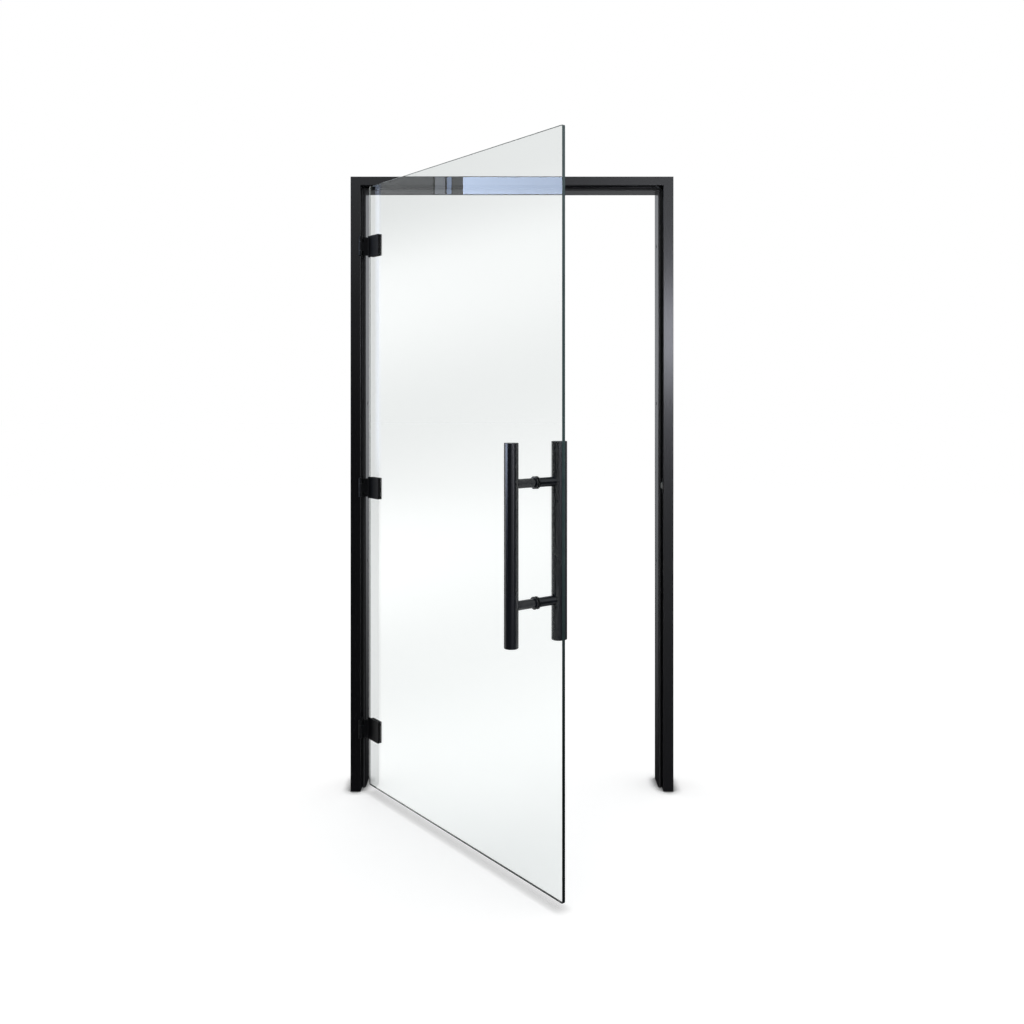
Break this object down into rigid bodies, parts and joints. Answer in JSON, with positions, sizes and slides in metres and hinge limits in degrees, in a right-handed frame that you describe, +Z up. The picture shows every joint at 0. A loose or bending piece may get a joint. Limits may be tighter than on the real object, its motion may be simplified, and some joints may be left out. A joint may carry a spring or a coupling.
{
  "type": "glass door with frame",
  "caption": "Hinged clear glass door in a mitred, rebated black frame, with clamp hinges pivoting in front of the frame, a back-to-back round-bar pull and a sprung roller catch.",
  "frame": {"origin": "on the floor, midway between the jambs, in the plane of the frame's front face", "axes": "+X to the right seen from the side the door opens to, +Y back through the opening, +Z up; the door is hinged at -X and opens towards -Y"},
  "size_m": [1.067, 0.9029, 2.032],
  "materials": {
    "frame_powder_coat": "satin black powder coat on extruded aluminium",
    "mill_aluminium": "mill finish",
    "clear_glass": "clear toughened glass with polished edges",
    "black_rubber": "matt",
    "black_painted_metal": "satin black",
    "bright_steel": "turned",
    "blackened_steel": "black oxide",
    "black_nylon": "moulded, satin",
    "pale_nylon": "moulded, satin"
  },
  "bodies": {
    "frame": {"hinge_jamb": "frame_powder_coat", "strike_jamb": "frame_powder_coat", "head": "frame_powder_coat", "left_corner_cleat": "mill_aluminium", "right_corner_cleat": "mill_aluminium", "corner_screws": "bright_steel", "hinge_side_seal": "black_rubber", "strike_side_seal": "black_rubber", "head_seal": "black_rubber", "leaf_screws": "blackened_steel", "catch_housing": "black_painted_metal", "catch_spring": "bright_steel", "catch_screws": "blackened_steel", "lower_jamb_leaf": "black_painted_metal", "lower_hinge_pin": "blackened_steel", "lower_hinge_backing": "bright_steel", "middle_jamb_leaf": "black_painted_metal", "middle_hinge_pin": "blackened_steel", "middle_hinge_backing": "bright_steel", "upper_jamb_leaf": "black_painted_metal", "upper_hinge_pin": "blackened_steel", "upper_hinge_backing": "bright_steel"},
    "door": {"back_bar_caps": "black_painted_metal", "back_lower_collar": "black_painted_metal", "back_lower_post": "black_painted_metal", "back_pull_bar": "black_painted_metal", "back_upper_collar": "black_painted_metal", "back_upper_post": "black_painted_metal", "clamp_screws": "blackened_steel", "clamp_sleeves": "pale_nylon", "front_bar_caps": "black_painted_metal", "front_lower_collar": "black_painted_metal", "front_lower_post": "black_painted_metal", "front_pull_bar": "black_painted_metal", "front_upper_collar": "black_painted_metal", "front_upper_post": "black_painted_metal", "glass_panel": "clear_glass", "grub_screws": "blackened_steel", "lower_back_clamp_plate": "black_painted_metal", "lower_back_gasket": "black_rubber", "lower_clamp_bracket": "black_painted_metal", "lower_front_gasket": "black_rubber", "lower_hinge_bushes": "black_nylon", "lower_pull_stud": "bright_steel", "middle_back_clamp_plate": "black_painted_metal", "middle_back_gasket": "black_rubber", "middle_clamp_bracket": "black_painted_metal", "middle_front_gasket": "black_rubber", "middle_hinge_bushes": "black_nylon", "pull_gaskets": "black_rubber", "pull_sleeves": "pale_nylon", "upper_back_clamp_plate": "black_painted_metal", "upper_back_gasket": "black_rubber", "upper_clamp_bracket": "black_painted_metal", "upper_front_gasket": "black_rubber", "upper_hinge_bushes": "black_nylon", "upper_pull_stud": "bright_steel"},
    "catch_fork": {"catch_slide": "pale_nylon", "catch_pin": "bright_steel"},
    "roller": {"catch_roller": "pale_nylon"}
  },
  "joints": [
    {"name": "door_swing", "type": "hinge", "parent": "frame", "child": "door", "pos_m": [-0.49925, -0.0073, 1.005], "axis": [0, 0, -1], "range_deg": [-52.8, 117.2]},
    {"name": "catch_press", "type": "slide", "parent": "frame", "child": "catch_fork", "axis": [1, 0, 0], "range_m": [0, 0.005], "stiffness_N_per_m": 800, "springref_m": -0.003, "deforming": ["catch_spring"]},
    {"name": "roller_spin", "type": "hinge", "parent": "catch_fork", "child": "roller", "pos_m": [0.5, 0.01853, 1.01], "axis": [0, 0, 1], "continuous": true}
  ]
}
